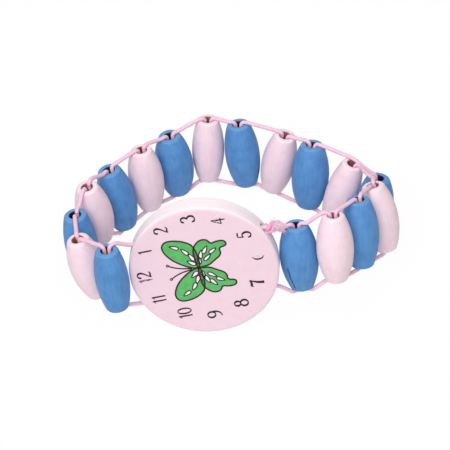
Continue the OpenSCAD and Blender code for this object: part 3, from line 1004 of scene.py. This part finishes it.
def cord_finish(name, top, groove_shade):
    """Matt thread: ridges painted pale as light, grooves painted deeper as shade, and a little sheen from loose
    fibres.
    """
    made, tree, shader = material(name)
    chart = node(tree, "UVMap", uv_map="chart").outputs[0]
    ridge = placed(tree, braid, {"Chart": chart, "Pitch": ridges_per_mm})["Ridge"]
    spots = noise(tree, node(tree, "TexCoord").outputs["Object"], 900.0, 3.0)
    share = times(tree, ridge, span(tree, spots, 0.3, 0.7, 0.7, 1.0))
    # The ridges' paler colour is painted light, and the grooves' deeper pink is painted shade.
    fill(tree, shader, {"Base Color": blend_colours(tree, share, groove_shade, top),
                        "Roughness": span(tree, ridge, 0, 1, 0.85, 0.68), "Specular IOR Level": 0.25,
                        "Sheen Weight": 0.25, "Sheen Roughness": 0.5,
                        "Normal": bumped(tree, share, 0.55, 0.00006)})
    return made


elastic_finish = cord_finish("elastic_thread", ink(249, 210, 229), ink(228, 160, 194))
print("braid", ridges_round, "ridges round")

# %% [markdown]
# ## Strands in the beads and between them
# The part of each strand inside a bead moves with that bead's link. The part between two neighbours is
# one piece from the first link to the second.
# It reaches a little way into both bores, where the join can't be seen. At the right end of this band one
# strand was led past bead 12 and the next one past bead 13, so each of those beads has one strand in its
# bore, and the two strands lie beside them.

# %% Strands
missed = 13
thin_share, bore_share = 0.74, 0.985
bead_reach, gap_reach, ring_lean = 0.7, 0.3, 0.3
dial_reach_left, dial_reach_right = 4.6, 6.0
gap_reach_left, gap_reach_right = 5.0, 5.2
past_turn_r, past_run = 2.5, 0.7


def shared(a, b, share):
    """The point at a share of the way from a to b."""
    return a + share * (b - a)


def strands_in_bead(i):
    """The strands inside bead i, from a little below one mouth to a little above the other: two, but
    one in each of the beads that a strand missed."""
    parts = []
    for which in {missed - 1: (-1,), missed: (1,)}.get(i, (-1, 1)):
        top, bottom = turn_point(i, which, -1), turn_point(i, -which, 1)
        high, low = crossing(i, which, which), crossing(i, which, -which)
        about = np.cross(axis[i], outward_way(i, 1, 1))
        parts.append(tube("strand", [shared(high, top, bead_reach), high, low,
                                     shared(low, bottom, bead_reach)],
                          [easy_r, easy_r], cord_r * thin_share * bore_share, about))
    return joined(f"elastic_in_bead_{i}", parts)


def gap_corners(i, top):
    """The corners and radii of the strand in the gap after piece i, at the top or the bottom."""
    corners, radii = [], []
    if i == 0:
        corners += [hole_point(-mouth_x + gap_reach_left, top), hole_point(-mouth_x, top)]
        radii += [hole_turn_r]
    else:
        low, over = crossing(i, -top, top), turn_point(i, top, 1)
        corners += [shared(low, over, gap_reach), over, edge_point(i, top, 1)]
        radii += [turn_r, edge_turn_r]
    if i == BEADS:
        slide = unit(middle[BEADS] - dial_middle)
        within = unit(slide + along_holes)
        corners += [hole_point(mouth_x, top), hole_point(mouth_x, top) - gap_reach_right * within]
        radii += [hole_turn_r]
    else:
        over, low = turn_point(i + 1, top, -1), crossing(i + 1, top, top)
        corners += [edge_point(i + 1, top, -1), over, shared(low, over, gap_reach)]
        radii += [edge_turn_r, turn_r]
    return corners, radii


def strand_between(name, corners, radii, by_bead, body, next_body, ends):
    """A strand from a start to an end, left where it is when there is a next body, or riding the first body
    where there is no next. Its rings' first sides lean from a bead's bore line to the dial's back."""
    strand = tube(name, corners, radii, cord_r, unit(axis[by_bead] + ring_lean * dial_back), ends=ends)
    strand.data.materials.append(elastic_finish)
    if next_body:
        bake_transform(strand)
    else:
        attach(strand, body)


def strand_in_gap(i, top, level):
    """The usual strand in the gap after piece i. The dial's holes don't thin it."""
    corners, radii = gap_corners(i, top)
    strand_between(f"elastic_gap_{i}_{level}", corners, radii, min(max(i, 1), BEADS),
                   f"link_{i}" if i else "dial", f"link_{i + 1}" if i < BEADS else None,
                   (thin_share if i else 1.0, thin_share if i < BEADS else 1.0))


def skipping(i, push, lift):
    """The strand from the top of bead i past the next bead's top to the one after, in two halves that
    meet beside the missed bead. push moves the meeting from a straight run, lift raises it."""
    (start, start_radii), (end, end_radii) = gap_corners(i, 1), gap_corners(i + 1, 1)
    near, far = start[:3], end[-3:]
    meet = shared(near[2], far[0], 0.5) + push
    meet = meet + lift * axis[i + 1]
    along = unit(far[0] - near[2])
    before, after = meet - past_run * along, meet + past_run * along
    strand_between(f"elastic_skip_{i}_near", near + [before, meet], start_radii[:2] + [past_turn_r], i,
                   f"link_{i}", f"link_{i + 1}", (thin_share, 1.0))
    strand_between(f"elastic_skip_{i}_far", [meet, after] + far, [past_turn_r] + end_radii[-2:], i + 2,
                   f"link_{i + 1}", f"link_{i + 2}", (1.0, thin_share))


elastic_in = {i: strands_in_bead(i) for i in range(1, BEADS + 1)}
for i, piece in elastic_in.items():
    finished(piece, elastic_finish, "elastic_cord", f"link_{i}", f"elastic_{i}")
in_dial = joined("elastic_in_dial", [
    tube("strand", [hole_point(x, top) for x in (-mouth_x + dial_reach_left, 0, mouth_x - dial_reach_right)],
         [easy_r], cord_r * bore_share, dial_back) for top in (-1, 1)])
finished(in_dial, elastic_finish, "elastic_cord", "dial", "elastic_dial")

band_middle = np.mean(list(middle.values()), axis=0)
outer_side = unit(across(middle[missed - 1] - band_middle, axis[missed - 1]))
skipping(missed - 2, 1.5 * outer_side, 0.25)
skipping(missed - 1, -0.5 * outer_side, 0.1)
not_strung = [(missed - 2, 1), (missed - 1, 1), (missed - 1, -1), (missed, 1)]
usual = [(i, top) for i in range(BEADS + 1) for top in (1, -1) if (i, top) not in not_strung]
for i, top in usual:
    strand_in_gap(i, top, "top" if top > 0 else "bottom")
print("usual strands between pieces", len(usual))

# %% [markdown]
# ## The knot
# The elastic's two ends are tied beside the dial: a small hard knot with two cut ends that have frayed.
# The knot is a tube along a three-lobed closed curve drawn out along the strand, which crosses itself as
# a tied cord does.

# %% Knot
knot_share = 0.4
knot_at, knot_swing, knot_out, knot_weave = (-1.25, -0.15, -0.1), 0.62, 0.62, 0.24
knot_from = hole_point(mouth_x, 1)
knot_run = edge_point(BEADS, 1, 1) - knot_from
knot_way = unit(knot_run)
knot_middle = knot_from + knot_share * knot_run
knot_up = unit(across(np.array([0, 0, 1.0]), knot_way))
knot_back = np.cross(knot_up, knot_way)


def by_knot(along, up_way, back_way):
    """Points given along the strand, up and back from the knot's middle, as numbers or whole arrays."""
    along, up_way, back_way = (np.asarray(v)[..., None] for v in (along, up_way, back_way))
    return knot_middle + along * knot_way + up_way * knot_up + back_way * knot_back


def tied(turns=160, sides=14, thick=0.4):
    """A tube round a closed curve that winds twice about the strand while it weaves three times: along by
    the sine and out by the cosine of three turns. Each ring's first side points outwards."""
    t = circle(turns)
    out = knot_out + knot_weave * np.cos(3 * t)
    centre = by_knot(*knot_at)
    line = by_knot(knot_at[0] + knot_swing * np.sin(3 * t + 0.3), knot_at[1] + out * np.cos(2 * t),
                   knot_at[2] + out * np.sin(2 * t))
    way = unit(np.roll(line, -1, axis=0) - np.roll(line, 1, axis=0))
    outwards = unit(line - centre - ((line - centre) @ knot_way)[:, None] * knot_way)
    first = unit(outwards - np.sum(outwards * way, axis=1)[:, None] * way)
    second = np.cross(way, first)
    a = circle(sides)[None, :, None]
    points = line[:, None] + thick * (np.cos(a) * first[:, None] + np.sin(a) * second[:, None])
    chart = (run_lengths(np.vstack([line, line[:1]])), np.linspace(0, 1, sides + 1))
    return surface("tied", points, (True, True), chart)


tied_knot = tied()
finished(tied_knot, cord_finish("knot_thread", ink(238, 176, 208), ink(228, 146, 188)), "elastic_cord",
         f"link_{BEADS}", "knot")
print("knot faces", len(tied_knot.data.polygons))

# %% [markdown]
# ## The frayed ends
# The cut ends have opened into loose fluff that lies along the strand. Its matted heart is a lumpy tube,
# and tufts of single fibres stand off it. All fibres of a tuft are one array, four sides each.

# %% Frayed ends
fluff_from, fluff_l = -1.35, 4.5


def woolly_core(sides=28, rings=44):
    """The matted heart of the frayed ends: a tube along the strand, as thick as the root of 4s(1 - s), with
    a few waves laid over one another as lumps."""
    s = np.linspace(0, 1, rings)[:, None]
    t = circle(sides)[None, :]
    full = np.sqrt(np.clip(4 * s * (1 - s), 0, 1)) * (1.05 - 0.35 * s)
    lumps = (0.14 * np.sin(3 * t + 9 * s) * np.sin(11 * s + t) + 0.08 * np.sin(7 * t - 17 * s)
             + 0.05 * np.sin(23 * s + 5 * t))
    radius = 0.02 + full * (0.92 + lumps)
    points = by_knot(fluff_from + fluff_l * s + 0 * t, 0.18 * np.sin(np.pi * s) + radius * np.cos(t),
                     radius * np.sin(t))
    chart = (np.linspace(0, fluff_l, rings), np.linspace(0, 1.4, sides + 1))
    return surface("woolly_core", points, (False, True), chart)


def tuft(root, way, count, length, spread, start, thick):
    """Loose fibres from a cut end: each leaves a place in the end's round, bends away by its own amount,
    which grows as the power 1.6 of the way along, and ends in a point. One array holds every fibre's
    rings."""
    rings, sides = 6, 4
    side = unit(across(np.array([0.3, 0.2, 1.0]), way))
    other = np.cross(way, side)
    turn = rng.uniform(0, 2 * np.pi, (count, 1))
    out = start * np.sqrt(rng.uniform(0, 1, (count, 1)))
    lean = spread * rng.uniform(0.2, 1, (count, 1))
    long = length * rng.uniform(0.45, 1, (count, 1))
    s = np.linspace(0, 1, rings)[None, :]
    far = out + lean * long * s ** 1.6
    curl = 0.12 * np.sin(4 * s + turn) * s
    spot = (np.cos(turn) * far + curl)[..., None] * side + (np.sin(turn) * far - curl)[..., None] * other
    line = root + (long * s * np.sqrt(1 - 0.4 * lean ** 2))[..., None] * way + spot
    a = circle(sides)
    ring = np.cos(a)[:, None] * side + np.sin(a)[:, None] * other
    points = line[:, :, None] + thick * (1 - 0.85 * s)[..., None, None] * ring
    fibre = np.arange(count) * rings * sides
    r, c, k = np.meshgrid(np.arange(rings - 1) * sides, np.arange(sides), fibre, indexing="ij")
    n = (c + 1) % sides
    quads = np.stack([k + r + c, k + r + n, k + r + sides + n, k + r + sides + c], -1).reshape(-1, 4)
    caps = np.concatenate([fibre[:, None] + np.arange(sides)[::-1],
                           fibre[:, None] + (rings - 1) * sides + np.arange(sides)])
    mesh = bpy.data.meshes.new("tuft")
    mesh.from_pydata(points.reshape(-1, 3) * MM, [], np.concatenate([quads, caps]).tolist())
    chart = mesh.uv_layers.new(name="chart")
    chart.data.foreach_set("uv", np.zeros(len(mesh.loops) * 2, np.float32))
    mesh.polygons.foreach_set("use_smooth", np.full(len(mesh.polygons), True))
    return linked("tuft", mesh)


tufts = [
    (by_knot(-0.9, 0.1, 0), knot_way, 90, 3.6, 0.2, 0.95, 0.07),
    (by_knot(-0.4, 0.3, 0), unit(0.8 * knot_way + knot_up), 46, 1.9, 0.5, 0.8, 0.06),
    (by_knot(-0.9, 0.5, 0.1), unit(knot_up - 0.1 * knot_way), 26, 1.6, 0.5, 0.5, 0.05),
    (by_knot(0.1, -0.3, 0), unit(knot_way - 0.5 * knot_up - 0.3 * knot_back), 40, 1.6, 0.5, 0.7, 0.06),
    (by_knot(1.0, 0.1, -0.4), unit(knot_way - 0.2 * knot_up - 0.4 * knot_back), 50, 2.2, 0.4, 0.7, 0.06),
    (by_knot(-0.2, 0.2, 0.3), unit(0.5 * knot_way + 0.4 * knot_up + knot_back), 40, 1.4, 0.6, 0.6, 0.05),
]
frayed = joined("frayed_ends", [woolly_core()] + [tuft(*one_tuft) for one_tuft in tufts])
finished(frayed, cord_finish("frayed_thread", ink(252, 226, 238), ink(244, 204, 224)), "elastic_cord",
         f"link_{BEADS}")
print("frayed faces", len(frayed.data.polygons))
